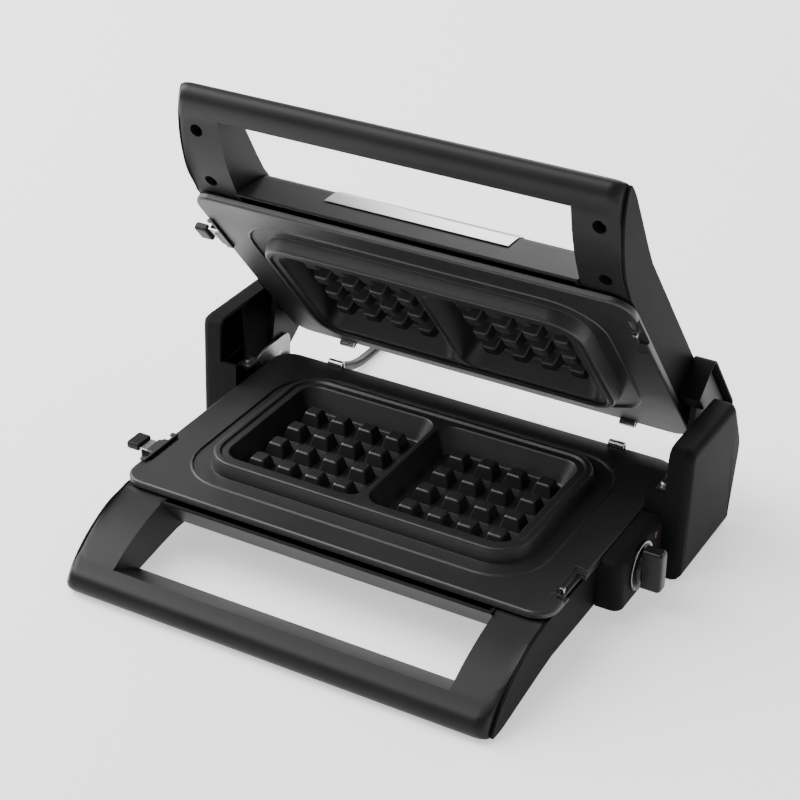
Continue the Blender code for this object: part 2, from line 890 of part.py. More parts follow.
def reflector(half, name):
    """The pressed tray under the heating element, with two holes for the element's ends."""
    flange = rim_height + gap
    well_x, well_y = tray_well_inset_x, tray_well_inset_y
    low_x, low_y = well_x + tray_draft, well_y + tray_draft
    outer = tray_flange_inset
    corner = plate_corner
    rings = [
        plan_ring(low_x, low_y, corner, tray_floor_under),
        plan_ring(well_x, well_y, corner, flange),
        plan_ring(outer, outer, corner, flange),
        plan_ring(outer, outer, corner, flange + tray_sheet),
        plan_ring(well_x + tray_sheet, well_y + tray_sheet, corner, flange + tray_sheet),
        plan_ring(low_x + tray_sheet, low_y + tray_sheet, corner, tray_floor_top),
    ]
    made = add(name, skin(rings), "reflector_metal", half)
    for side in (-1, 1):
        centre = (element_reach, middle_y + side * terminal_spread / 2, tray_floor_under)
        cut(made, rod(centre, (0, 0, 1), element_radius + terminal_clearance, -overrun, overrun, round_sides), half)
    return made


def heating_element(half, name):
    """A sheathed loop under both cavities, its ends turned down through the reflector."""
    height = pad_under - gap - element_radius
    near, far = middle_y - element_half_depth, middle_y + element_half_depth
    first, last = middle_y - terminal_spread / 2, middle_y + terminal_spread / 2
    reach = element_reach
    loop = [
        (reach, first, height - terminal_length), (reach, first, height), (reach, near, height),
        (-reach, near, height), (-reach, far, height), (reach, far, height), (reach, last, height),
        (reach, last, height - terminal_length),
    ]
    bends = [terminal_bend] + [element_bend] * (len(loop) - 4) + [terminal_bend]
    return add_tube(name, bent_path(loop, bends, 4), element_radius, "element_metal", half)


def clip(half, name, side):
    """A sprung steel hook at the back that holds the plate's rear edge down."""
    x0, x1 = sorted((side * (clip_x - clip_width / 2), side * (clip_x + clip_width / 2)))
    back = plate_depth + gap
    low = rim_height - clip_drop
    hook = plate_under + notch_ledge + gap
    crest = plate_top + clip_rise
    tip = plate_depth - clip_bite
    outline = [
        (back, low), (back, crest - clip_sheet), (tip, crest - clip_sheet), (tip, hook), (tip - clip_sheet, hook),
        (tip - clip_sheet, crest - clip_sheet), (tip, crest), (back, crest), (back + clip_sheet, crest - clip_sheet),
        (back + clip_sheet, low - clip_sheet),
        (carrier_back + gap, low - clip_sheet), (carrier_back + gap, low),
    ]
    return add(name, prism(outline, x0, x1), "bright_steel", half)


def latch(half, name):
    """The steel slide that the button moves: a tongue on the plate's ledge and a stem through the wall."""
    tongue = plate_under + notch_ledge + gap
    stem = latch_stem_height - latch_sheet / 2
    tip = plate_width / 2 - latch_bite
    web = latch_web_x
    outline = [
        (-tip, tongue), (-tip, tongue + latch_sheet), (-web, tongue + latch_sheet), (-web, stem),
        (-latch_stem_end, stem), (-latch_stem_end, stem + latch_sheet), (-web + latch_sheet, stem + latch_sheet),
        (-web + latch_sheet, tongue),
    ]
    middle = latch_spot(half)
    rings = [[(x, middle + side * latch_stem_half, z) for x, z in outline] for side in (-1, 1)]
    return add(name, skin(rings), "bright_steel", half, (-web, middle, stem))


def release_button(half, name):
    """The black press button on the outer end of the latch."""
    middle = latch_spot(half)
    inner = latch_web_x + gap
    reach = button_length / 2
    made = add(
        name, block(-button_outer, -inner, middle - reach, middle + reach, button_low, button_high),
        "black_plastic", half, (-inner, middle, button_low),
    )
    soften(made, button_round)
    return made


def helix(start, end, radius, turns, points):
    """Points of a coil along x, from start to end."""
    middle_z = start[2]
    steps = turns * points
    line = []
    for step in range(steps + 1):
        angle = math.tau * step / points
        share = step / steps
        line.append((
            start[0] + (end[0] - start[0]) * share,
            start[1] + radius * math.cos(angle),
            middle_z + radius * math.sin(angle),
        ))
    return line


def least_gap(points, radius, skip):
    """Smallest clear distance between stretches of one tube that aren't neighbours."""
    points = [Vector(point) for point in points]
    least = min(
        (first - second).length
        for index, first in enumerate(points)
        for second in points[index + skip:]
    )
    return least - radius * 2


def release_spring(half, name):
    """The coil that pushes the latch back out, between its stem and the shell's rib."""
    middle = latch_spot(half)
    start = (-latch_stem_end + spring_wire + gap, middle, latch_stem_height)
    end = (-spring_end - spring_wire, middle, latch_stem_height)
    points = helix(start, end, spring_radius, spring_turns, 9)
    print(name, "least gap to itself, mm:", round(least_gap(points, spring_wire, 6) * 1000, 2))
    return add_tube(name, points, spring_wire, "bright_steel", half, 1)


def both_halves():
    """Everything that the lower half and the lid have alike."""
    for half in (LOWER, LID):
        prefix = half[0]
        handle = "lower" if half is LOWER else "lid"
        frame = handle_frame(half, handle + "_handle_frame")
        soften(frame, handle_round)
        if half is LID:
            handle_screw_holes(frame)
        tray = shell(half, "base_shell" if half is LOWER else "lid_shell")
        if half is LOWER:
            wall = (relief_x, carrier_back, relief_z)
            hole = rod(wall, (0, 1, 0), relief_neck_radius + gap, -shell_wall - overrun, overrun, round_sides)
            cut(tray, hole)
        plate(half, prefix + "_plate")
        reflector(half, prefix + "_reflector")
        heating_element(half, prefix + "_heating_element")
        latch(half, prefix + "_latch")
        release_button(half, prefix + "_release_button")
        release_spring(half, prefix + "_release_spring")
        for side, word in ((-1, "left"), (1, "right")):
            side_cover(half, handle + "_side_cover_" + word, side)
            clip(half, prefix + "_plate_clip_" + word, side)


# The lid's own pieces


def crown_slope(reach):
    """Point of the crown at a distance in front of the plate, and the direction out of it."""
    near = crest_height(reach - handle_round)
    far = crest_height(reach + handle_round)
    out = Vector((0, far - near, handle_round * 2)).normalized()
    return Vector((0, -reach, crest_height(reach))), out


def handle_screw_spots():
    for side, word in ((-1, "left"), (1, "right")):
        for reach, place in ((screw_hole_outer, "outer"), (screw_hole_inner, "inner")):
            point, out = crown_slope(reach)
            point.x = side * screw_hole_x
            yield word + "_" + place, point, out


def handle_screw_holes(frame):
    for _, point, out in handle_screw_spots():
        wide = screw_hole_radius
        narrow = screw_shank_radius + slack
        end = screw_hole_depth + screw_shank + slack
        profile = ((-overrun, wide), (screw_hole_depth, wide), (screw_hole_depth, narrow), (end, narrow))
        cut(frame, turned(point, -out, profile, small_sides), LID)


def handle_screws():
    for word, point, out in handle_screw_spots():
        head_top = screw_hole_depth - screw_head - gap
        profile = (
            (head_top, screw_head_radius * screw_dome_share), (head_top + screw_head / 2, screw_head_radius),
            (head_top + screw_head, screw_head_radius), (head_top + screw_head, screw_shank_radius),
            (head_top + screw_head + screw_shank, screw_shank_radius),
        )
        add("handle_screw_" + word, turned(point, -out, profile, small_sides), "bright_steel", LID)


def lid_top_panel():
    """The steel sheet that wraps from the nose of the lid on to its top."""
    line = [Vector(point) for point in nose_line()]
    start = line[1].lerp(line[2], panel_start_share)
    path = [start, *line[2:], Vector((panel_back, floor_height))]
    inner, outer = [], []
    for index, point in enumerate(path):
        back = path[max(index - 1, 0)]
        ahead = path[min(index + 1, len(path) - 1)]
        run = (ahead - back).normalized()
        out = Vector((run.y, -run.x))
        inner.append(tuple(point + out * gap))
        outer.append(tuple(point + out * (gap + panel_sheet)))
    add("lid_top_panel", prism(inner + outer[::-1], -panel_half, panel_half), "brushed_steel", LID)


# Hinges


def housing_outline():
    points = (
        (housing_front_foot, foot_height), (housing_back_foot, foot_height),
        (housing_hip_back, housing_hip_height), (housing_crown_back, housing_height),
        (housing_front_top, housing_height),
    )
    radii = (0, housing_corner / 2, housing_corner * 3, housing_corner, housing_corner)
    return round_outline(points, radii)


def hinge_housing(name, side):
    """The tall cover beside each hinge, open towards the plates."""
    outline = housing_outline()
    rings = [[(side * housing_inner, y, z) for y, z in outline]]
    steps = 3
    for step in range(steps + 1):
        angle = math.pi / 2 * step / steps
        inset = housing_edge * (1 - math.cos(angle))
        x = housing_outer - housing_edge * (1 - math.sin(angle))
        rings.append([(side * x, y, z) for y, z in inset_outline(outline, inset)])
    made = add(name, skin(rings), "black_plastic")
    wall = housing_wall
    hollow = inset_outline(outline, wall)
    low, high = sorted((side * (housing_inner - overrun), side * (housing_outer - wall)))
    cut(made, prism(hollow, low, high))
    x0, x1 = sorted((side * (housing_inner - overrun), side * housing_step_x))
    top = housing_height + overrun
    front, back = housing_front_foot - overrun, housing_hip_back + overrun
    cut(made, block(x0, x1, front, back, housing_step_height, top))
    cut(made, block(x0, x1, housing_rear_open, back, foot_height + wall + slack, housing_step_height + overrun))
    middle = (side * column_x, column_y, 0)
    x0, x1 = sorted((middle[0] - column_half, middle[0] + column_half))
    y0, y1 = column_y - column_half, column_y + column_half
    join(made, block(x0, x1, y0, y1, foot_height + wall / 2, column_height))
    inner, outer = sorted((side * (housing_step_x + slack), side * (housing_outer - wall + gap)))
    rib_y = column_y + column_half * 2
    join(made, block(inner, outer, rib_y, rib_y + rib_sheet, foot_height + wall / 2, housing_height - wall + gap))
    low = housing_step_height - wall
    join(made, block(inner, outer, housing_front_top + gap, rib_y + rib_sheet / 2, low, low + rib_sheet))
    cut(made, rod(middle, (0, 0, 1), screw_shank_radius + slack, column_height - screw_shank - slack, column_height + overrun))
    return made


def hinge_bracket(name, side):
    """The steel bracket on the base that carries the pin and is screwed to the housing's column."""
    inner = housing_inner + slack
    eye_y, eye_z = hinge_back, hinge_height
    top = eye_z + bracket_eye
    back = eye_y + bracket_eye
    ear = column_height + gap
    points = (
        (bracket_front, ear), (bracket_ear_end, ear), (bracket_foot_front, plate_under),
        (bracket_foot_front, bracket_foot_height), (bracket_foot_back, bracket_foot_height),
        (back, eye_z), (back, top), (bracket_foot_front + bracket_eye / 2, top),
        (bracket_ear_end, ear + bracket_ear), (bracket_front, ear + bracket_ear),
    )
    radii = (0, 0, bracket_sheet, bracket_sheet, bracket_sheet, bracket_eye, bracket_eye, bracket_eye, 0, 0)
    low, high = sorted((side * inner, side * (inner + bracket_sheet)))
    made = add(name, prism(round_outline(points, radii), low, high), "pressed_steel")
    x0, x1 = sorted((side * (inner + bracket_sheet / 2), side * (column_x + column_half)))
    join(made, block(x0, x1, bracket_front + gap, bracket_ear_end - gap, ear, ear + bracket_ear))
    x0, x1 = sorted((side * (cover_half + gap), side * (inner + bracket_sheet / 2)))
    pad_top = plate_under - slack * 2
    y0, y1 = bracket_foot_front + bracket_sheet, bracket_foot_back - bracket_sheet * 2
    join(made, block(x0, x1, y0, y1, bracket_foot_height + bracket_sheet, pad_top))
    centre = (0, eye_y, eye_z)
    low, high = sorted((side * (inner - overrun), side * (inner + overrun)))
    cut(made, rod(centre, (1, 0, 0), pin_radius + slack / 2, low, high, round_sides))
    hole = (side * column_x, column_y, ear)
    cut(made, rod(hole, (0, 0, 1), screw_shank_radius + slack, -overrun, overrun))
    return made


def arm_inner():
    """Where the hinge arm's flat side lies, just outside the bracket."""
    return housing_inner + slack + bracket_sheet + slack


def hinge_arm(name, side):
    """The cast arm that hangs the lid on its pin, bolted inside the hinge cover."""
    eye = Vector((hinge_back, closed_height - hinge_height))
    outline = [(arm_back, arm_top), (arm_front, arm_top), (arm_front, arm_root)]
    start = Vector((arm_front, arm_root)) - eye
    first = math.atan2(start.y, start.x) - math.acos(arm_eye / start.length)
    start = Vector((arm_back, arm_root)) - eye
    last = math.atan2(start.y, start.x) + math.acos(arm_eye / start.length)
    steps = 10
    if first < last:
        first += math.tau
    for step in range(steps + 1):
        angle = first + (last - first) * step / steps
        outline.append((eye.x + arm_eye * math.cos(angle), eye.y + arm_eye * math.sin(angle)))
    outline.append((arm_back, arm_root))
    low, high = sorted((side * arm_inner(), side * (arm_inner() + arm_sheet)))
    made = add(name, prism(outline, low, high), "black_plastic", LID)
    x0, x1 = sorted((side * (hinge_cover_base + hinge_cover_wall + gap), side * (arm_inner() + arm_sheet / 2)))
    join(made, block(x0, x1, arm_front + slack, arm_back - slack, arm_top + slack, arm_root - slack), LID)
    centre = (0, eye.x, eye.y)
    low, high = sorted((side * (arm_inner() - overrun / 4), side * (arm_inner() + arm_sheet + overrun)))
    cut(made, rod(centre, (1, 0, 0), pin_radius + slack / 2, low, high, round_sides), LID)
    return made


def hinge_pin(name, side):
    inner = housing_inner + slack
    outer = arm_inner() + arm_sheet + gap
    profile = (
        (inner, pin_radius), (outer, pin_radius), (outer, pin_head_radius),
        (outer + pin_head / 2, pin_head_radius), (outer + pin_head, pin_head_radius - pin_head / 2),
    )
    shape = turned((0, hinge_back, hinge_height), (side, 0, 0), profile, round_sides)
    return add(name, shape, "bright_steel")


def hinge_cover(name, side):
    """The lid's thin box round each hinge arm, open on its outer side and underneath."""
    front, back = hinge_cover_front, hinge_cover_back
    top, low = hinge_cover_top, hinge_cover_low
    wall = hinge_cover_wall
    points = ((front, low), (front, top), (back, top), (back, low))
    outline = round_outline(points, (0, hinge_cover_corner, hinge_cover_corner, 0))
    x0, x1 = sorted((side * hinge_cover_base, side * hinge_cover_outer))
    made = add(name, prism(outline, x0, x1), "black_plastic", LID)
    x0, x1 = sorted((side * (hinge_cover_base + wall), side * (hinge_cover_outer + overrun)))
    cut(made, prism(inset_outline(outline, wall), x0, x1), LID)
    mouth = block(x0, x1, front + hinge_cover_ledge, back - wall, low - wall - overrun, low + overrun)
    cut(made, mouth, LID)
    return made


def housing_screw(name, side):
    top = column_height + gap + bracket_ear + gap
    profile = (
        (-screw_shank, screw_shank_radius), (0, screw_shank_radius), (0, screw_head_radius),
        (screw_head / 2, screw_head_radius), (screw_head, screw_head_radius * screw_dome_share),
    )
    shape = turned((side * column_x, column_y, top), (0, 0, 1), profile, small_sides)
    return add(name, shape, "bright_steel")


def hinges():
    for side, word in ((-1, "left"), (1, "right")):
        hinge_housing("hinge_housing_" + word, side)
        hinge_bracket("hinge_bracket_" + word, side)
        housing_screw("housing_screw_" + word, side)
        hinge_pin("hinge_pin_" + word, side)
        hinge_arm("lid_hinge_arm_" + word, side)
        hinge_cover("lid_hinge_cover_" + word, side)


# Thermostat


def control_box():
    """The box on the right side, rounded to its face, with holes for the shaft and the lamp."""
    base = cover_half + gap
    rings = []
    steps = 4
    for step in range(-1, steps + 1):
        angle = math.pi / 2 * max(step, 0) / steps
        inset = box_edge * (1 - math.cos(angle))
        x = base if step < 0 else box_outer - box_edge * (1 - math.sin(angle))
        y, z = box_front + inset, box_top - inset
        points = ((y, floor_height), (box_back, floor_height), (box_back, z), (y, z))
        outline = round_outline(points, (0, 0, 0, box_edge))
        rings.append([(x, y, z) for y, z in outline])
    made = add("control_box", skin(rings), "black_plastic")
    wall = box_wall
    near, high = box_front + box_edge_wall, box_top - box_edge_wall
    points = ((near, floor_height + wall), (box_back - wall, floor_height + wall), (box_back - wall, high), (near, high))
    cut(made, prism(round_outline(points, (0, 0, 0, box_edge)), base - overrun, box_outer - wall))
    edge = plate_width / 2 + slack
    cut(made, block(base - overrun, edge, box_front - overrun, box_back + overrun, plate_under - slack, box_top + overrun))
    face = (box_outer, dial_y, dial_z)
    cut(made, rod(face, (1, 0, 0), shaft_radius + slack, -wall - overrun, overrun, round_sides))
    lamp = (box_outer, lens_y, lens_z)
    cut(made, rod(lamp, (1, 0, 0), lens_radius + gap, -wall - overrun, overrun, round_sides))
    return made


def thermostat():
    base = cover_half + gap * 2
    half = thermostat_side / 2
    face = base + thermostat_depth
    made = add("thermostat", block(
        base, face, dial_y - half, dial_y + half, dial_z - half, dial_z + half,
    ), "ceramic")
    bush_end = box_outer - box_wall - gap
    centre = (0, dial_y, dial_z)
    join(made, rod(centre, (1, 0, 0), bush_radius, face - overrun, bush_end, round_sides))
    cut(made, rod(centre, (1, 0, 0), shaft_radius + gap, face - overrun / 2, bush_end + overrun, round_sides))
    return face - overrun / 2


def control():
    """Dial, knob, shaft and lamp on and behind the box."""
    control_box()
    shaft_start = thermostat() + gap
    axis = (0, dial_y, dial_z)
    ring = box_outer + gap
    profile = ((ring, dial_radius), (ring + dial_sheet, dial_radius))
    dial = add("dial_ring", turned(axis, (1, 0, 0), profile, dial_sides), "print_ring")
    cut(dial, rod(axis, (1, 0, 0), dial_hole, ring - overrun, ring + overrun, round_sides))
    base = ring + dial_sheet + gap
    origin = (base, dial_y, dial_z)
    add("thermostat_shaft", rod(axis, (1, 0, 0), shaft_radius, shaft_start, base + shaft_length_in_knob, round_sides),
        "bright_steel", LOWER, origin)
    profile = ((base, knob_radius), (base + knob_base / 2, knob_radius), (base + knob_base, knob_radius * knob_taper_share))
    knob = add("thermostat_knob", turned(axis, (1, 0, 0), profile, dial_sides), "gloss_plastic", LOWER, origin)
    half_y, half_z = knob_grip_width / 2, knob_grip_length / 2
    edge = knob_grip_round
    rings = []
    for x, inset in ((base + knob_base / 2, 0), (knob_outer - edge, 0), (knob_outer - edge / 3, edge / 3), (knob_outer, edge)):
        outline = rounded_ring(dial_y - half_y + inset, dial_y + half_y - inset, dial_z - half_z + inset,
                               dial_z + half_z - inset, edge, x)
        rings.append([(x, y, z) for y, z, x in outline])
    join(knob, skin(rings), LOWER, origin)
    bore_end = base + shaft_length_in_knob + gap
    cut(knob, rod(axis, (1, 0, 0), shaft_radius + gap, base - overrun, bore_end, round_sides), LOWER, origin)
    lens = (box_outer, lens_y, lens_z)
    back = lens_proud - lens_length
    profile = (
        (back, lens_radius), (lens_proud / 2, lens_radius), (lens_proud, lens_radius * lens_dome_share),
    )
    add("indicator_lens", turned(lens, (1, 0, 0), profile, round_sides), "red_lens")
    profile = [(back - gap - lamp_length * far, lamp_radius * wide) for far, wide in lamp_shares]
    add("indicator_lamp", turned(lens, (1, 0, 0), profile, small_sides), "lamp_glass")


# Feet


def feet():
    spots = (
        ("foot_front_left", -foot_front_x, -handle_reach * foot_front_share),
        ("foot_front_right", foot_front_x, -handle_reach * foot_front_share),
        ("foot_rear_left", -foot_rear_x, foot_rear_y), ("foot_rear_right", foot_rear_x, foot_rear_y),
    )
    for name, x, y in spots:
        rest = foot_height if "rear" in name else rim_height * keel_shares[1][1]
        add(name, rod((x, y, 0), (0, 0, 1), foot_radius, 0, rest - gap, round_sides), "rubber")


# Cord


def strain_relief():
    """Ribbed taper on the back wall, with its neck through the wall."""
    back = carrier_back + gap
    profile = [
        (back - shell_wall - gap * 2, relief_neck_radius), (back, relief_neck_radius),
        (back, relief_root_radius), (back + relief_collar, relief_root_radius),
    ]
    run = (relief_length - relief_collar) / relief_ribs
    fall = (relief_root_radius - relief_tip_radius) / relief_ribs
    for rib in range(relief_ribs):
        start = back + relief_collar + run * rib
        radius = relief_root_radius - fall * (rib + 1)
        profile += [(start, radius - gap), (start + run / 3, radius - gap), (start + run / 3, radius), (start + run, radius)]
    profile = [pair for index, pair in enumerate(profile) if index == 0 or pair != profile[index - 1]]
    add("strain_relief", turned((relief_x, 0, relief_z), (0, 1, 0), profile, small_sides), "rubber")
    return back + relief_length


def cord_route():
    """The free stretch from the strain relief to the coil, in metres, chosen by hand."""
    return [
        (-0.1320, 0.1312, 0.0170), (-0.1320, 0.1380, 0.0170), (-0.1320, 0.1475, 0.0150),
        (-0.1321, 0.1570, 0.0108), (-0.1323, 0.1670, 0.0066), (-0.1325, 0.1780, 0.0042),
        (-0.1327, 0.1920, 0.0036), (-0.1328, 0.2060, 0.0036), (-0.1329, 0.2205, 0.0038),
        (-0.1330, 0.2350, 0.0044), (-0.1330, 0.2480, 0.0046), (-0.1330, 0.2567, 0.0046),
    ]


def coil_route():
    """The whole coil: a layer that spirals in, a climb, a layer that spirals out, and the tail."""
    low = cord_radius + tie_sheet + gap
    start = Vector((coil_x - coil_radius, coil_y - cord_radius * 2, low))
    points = [start]
    turn_back = coil_turns / 2
    count = round(coil_turns * coil_points)
    for step in range(count + 1):
        turns = step / coil_points
        radius = coil_radius - coil_step * (turn_back - abs(turns - turn_back))
        climb = min(max((turns - turn_back) / climb_turns + climb_middle_share, 0), 1)
        angle = math.pi - math.tau * turns
        points.append(Vector((
            coil_x + radius * math.cos(angle), coil_y + radius * math.sin(angle), low + coil_step * climb,
        )))
    print("coil least gap to itself, mm:", round(least_gap(points, cord_radius, coil_points // 2) * 1000, 2))
    end = points[-1]
    steps = 6
    rise = plug_radius - end.z
    for step in range(1, steps + 1):
        share = step / steps
        ease = share * share * (3 - 2 * share)
        points.append(end + Vector((tail_run * share, 0, rise * ease)))
    points.append(points[-1] + Vector((cord_radius * 2, 0, 0)))
    return points


def add_world_tube(name, points, radius, resolution):
    """A cord whose points are already in the part's own frame."""
    shifted = [(point[0], point[1] - plate_front, point[2]) for point in points]
    return add_tube(name, shifted, radius, "cord_sheath", LOWER, resolution)


def cord():
    strain_relief()
    add_world_tube("power_cord", smooth_line(cord_route(), 1), cord_radius, 2)
    coil = coil_route()
    add_world_tube("power_cord_coil", coil, cord_radius, 1)
    tie(coil)
    plug(coil[-1])


def tie(coil):
    """A strap round all the turns, at the front of the coil."""
    turn_back = coil_turns / 2
    inner = coil_radius - coil_step * turn_back - cord_radius - gap
    outer = coil_radius + cord_radius + gap
    low = tie_sheet
    high = low + gap + cord_radius * 2 + coil_step + gap
    y0, y1 = coil_y - outer, coil_y - inner
    corner = cord_radius
    x0, x1 = coil_x - tie_width / 2, coil_x + tie_width / 2
    rings = []
    for x, grow in ((x0, tie_sheet), (x1, tie_sheet), (x1, 0), (x0, 0)):
        outline = rounded_ring(y0 - grow, y1 + grow, low - grow, high + grow, corner + grow, x)
        rings.append([(x, y - plate_front, z) for y, z, x in outline])
    add("cord_tie", skin(rings, True), "tie_strap")


def plug(end):
    """A round moulded plug on its side, with a tapered neck and two pins."""
    face = gap
    profile = (
        *((face + plug_neck * far, plug_neck_radius * wide) for far, wide in plug_neck_shares),
        (face + plug_neck, plug_radius - plug_flange_round * 2),
        (face + plug_neck + plug_flange_round, plug_radius - plug_flange_round / 2),
        (face + plug_neck + plug_flange_round * 2, plug_radius),
        (face + plug_neck + plug_body - plug_flange_round / 2, plug_radius),
        (face + plug_neck + plug_body, plug_radius - plug_flange_round / 2),
    )
    start = (end[0], end[1] - plate_front, end[2])
    add("plug_body", turned(start, (1, 0, 0), profile, round_sides), "rubber")
    for side, word in ((-1, "near"), (1, "far")):
        low = face + plug_neck + plug_body + gap
        high = low + plug_pin_length
        pin = (start[0], start[1] + side * plug_pin_spread / 2, start[2])
        profile = ((low, plug_pin_radius), (high - plug_pin_radius / 2, plug_pin_radius), (high, plug_pin_radius / 2))
        add("plug_pin_" + word, turned(pin, (1, 0, 0), profile, small_sides), "bright_steel")


both_halves()
handle_screws()
lid_top_panel()
hinges()
control()
feet()
cord()
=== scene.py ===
"""Looks of the multi grill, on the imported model's frame.

Metres, +Z up, in the same frame as the model: +X is the grill's right and +Y its back.
"""

import json
import math

import bmesh
import bpy
from mathutils import Matrix, Vector


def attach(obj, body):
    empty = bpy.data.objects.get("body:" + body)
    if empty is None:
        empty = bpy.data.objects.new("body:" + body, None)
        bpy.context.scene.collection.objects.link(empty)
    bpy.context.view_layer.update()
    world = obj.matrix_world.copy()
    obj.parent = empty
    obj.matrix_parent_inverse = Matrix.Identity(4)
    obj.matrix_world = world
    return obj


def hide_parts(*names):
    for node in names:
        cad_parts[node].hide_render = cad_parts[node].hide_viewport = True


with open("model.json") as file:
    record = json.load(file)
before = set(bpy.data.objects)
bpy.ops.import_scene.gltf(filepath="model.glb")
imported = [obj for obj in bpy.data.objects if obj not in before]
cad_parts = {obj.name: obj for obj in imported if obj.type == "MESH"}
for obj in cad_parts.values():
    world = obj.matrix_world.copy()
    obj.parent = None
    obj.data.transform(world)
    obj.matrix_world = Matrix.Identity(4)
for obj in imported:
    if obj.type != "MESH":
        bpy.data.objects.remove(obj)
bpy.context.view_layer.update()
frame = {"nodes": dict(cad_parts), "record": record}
nodes = frame["nodes"]


# Camera, fitted to edges all over the photograph

eye = Vector((0.53967, -0.94209, 0.73981))
right = Vector((0.867899, 0.496731, 0.003214))
up = Vector((-0.254283, 0.438712, 0.861900))
back = right.cross(up)
sensor_width = 36.0
focal_pixels = 2043.5
frame_pixels = 800
lens_data = bpy.data.cameras.new("camera")
lens_data.sensor_fit = "HORIZONTAL"
lens_data.sensor_width = sensor_width
lens_data.lens = sensor_width * focal_pixels / frame_pixels
lens_data.clip_start = 0.01
lens_data.clip_end = 20.0
camera = bpy.data.objects.new("camera", lens_data)
turn = Matrix((right, up, back)).transposed().to_4x4()
camera.matrix_world = Matrix.Translation(eye) @ turn
bpy.context.scene.collection.objects.link(camera)
bpy.context.scene.camera = camera


# Materials


def new_material(name, colour, roughness, metallic=0.0, specular=0.5):
    """A Principled material with its node tree, ready for texture nodes."""
    made = bpy.data.materials.new(name)
    made.use_nodes = True
    tree = made.node_tree
    shader = tree.nodes["Principled BSDF"]
    shader.inputs["Base Color"].default_value = (*colour, 1)
    shader.inputs["Roughness"].default_value = roughness
    shader.inputs["Metallic"].default_value = metallic
    shader.inputs["Specular IOR Level"].default_value = specular
    made.diffuse_color = (*colour, 1)
    return made, tree, shader


def coordinates(tree, stretch=(1, 1, 1)):
    """Object coordinates in metres, stretched along the axes."""
    source = tree.nodes.new("ShaderNodeTexCoord")
    mapping = tree.nodes.new("ShaderNodeMapping")
    mapping.inputs["Scale"].default_value = stretch
    tree.links.new(source.outputs["Object"], mapping.inputs["Vector"])
    return mapping.outputs["Vector"]


def noise(tree, vector, scale, detail=3.0, roughness=0.55):
    made = tree.nodes.new("ShaderNodeTexNoise")
    made.inputs["Scale"].default_value = scale
    made.inputs["Detail"].default_value = detail
    made.inputs["Roughness"].default_value = roughness
    tree.links.new(vector, made.inputs["Vector"])
    return made.outputs["Fac"]


def spread(tree, value, low, high, start=0.3, end=0.7):
    """Maps a value between start and end on to a range."""
    made = tree.nodes.new("ShaderNodeMapRange")
    made.inputs["From Min"].default_value = start
    made.inputs["From Max"].default_value = end
    made.inputs["To Min"].default_value = low
    made.inputs["To Max"].default_value = high
    tree.links.new(value, made.inputs["Value"])
    return made.outputs["Result"]


def tint(tree, value, first, second, start=0.3, end=0.7):
    """A colour between two, led by a value."""
    ramp = tree.nodes.new("ShaderNodeValToRGB")
    ramp.color_ramp.elements[0].position = start
    ramp.color_ramp.elements[0].color = (*first, 1)
    ramp.color_ramp.elements[1].position = end
    ramp.color_ramp.elements[1].color = (*second, 1)
    tree.links.new(value, ramp.inputs["Fac"])
    return ramp.outputs["Color"]


def bump(tree, shader, height, strength, distance, before=None):
    made = tree.nodes.new("ShaderNodeBump")
    made.inputs["Strength"].default_value = strength
    made.inputs["Distance"].default_value = distance
    tree.links.new(height, made.inputs["Height"])
    if before is not None:
        tree.links.new(before, made.inputs["Normal"])
    tree.links.new(made.outputs["Normal"], shader.inputs["Normal"])
    return made.outputs["Normal"]


def moulded(name, colour, roughness, specular, grain=0.25, grain_scale=2600, cloud=0.03):
    """Moulded plastic: a fine spark grain, a slow change in sheen, and a trace of dust in its colour."""
    made, tree, shader = new_material(name, colour, roughness, 0.0, specular)
    place = coordinates(tree)
    slow = noise(tree, place, 14, 2.0)
    fine = noise(tree, place, grain_scale, 2.0)
    tree.links.new(spread(tree, slow, roughness - cloud, roughness + cloud), shader.inputs["Roughness"])
    lighter = tuple(channel * 1.25 + 0.002 for channel in colour)
    tree.links.new(tint(tree, slow, colour, lighter), shader.inputs["Base Color"])
    bump(tree, shader, fine, grain, 0.00006)
    return made


def coated(name, colour, roughness):
    """Non-stick coating on cast metal: a pebbled skin with fine lighter specks."""
    made, tree, shader = new_material(name, colour, roughness)
    place = coordinates(tree)
    specks = noise(tree, place, 2400, 1.0)
    pebble = noise(tree, place, 900, 3.0)
    slow = noise(tree, place, 20, 3.0)
    light = tuple(channel * 2.6 + 0.006 for channel in colour)
    tree.links.new(tint(tree, specks, colour, light, 0.60, 0.74), shader.inputs["Base Color"])
    tree.links.new(spread(tree, slow, roughness - 0.04, roughness + 0.05), shader.inputs["Roughness"])
    shader.inputs["Coat Weight"].default_value = 0.05
    shader.inputs["Coat Roughness"].default_value = 0.38
    bump(tree, shader, pebble, 0.30, 0.00012)
    return made


def brushed(name, colour, roughness, along):
    """Brushed steel: long fine scratches along one axis."""
    made, tree, shader = new_material(name, colour, roughness, 1.0)
    across = tuple(6.0 if axis == along else 900.0 for axis in range(3))
    lines = noise(tree, coordinates(tree, across), 1.0, 4.0, 0.65)
    slow = noise(tree, coordinates(tree), 9, 2.0)
    darker = tuple(channel * 0.80 for channel in colour)
    tree.links.new(tint(tree, lines, darker, colour, 0.25, 0.75), shader.inputs["Base Color"])
    tree.links.new(spread(tree, slow, roughness - 0.04, roughness + 0.05), shader.inputs["Roughness"])
    shader.inputs["Anisotropic"].default_value = 0.55
    bump(tree, shader, lines, 0.18, 0.00003)
    return made


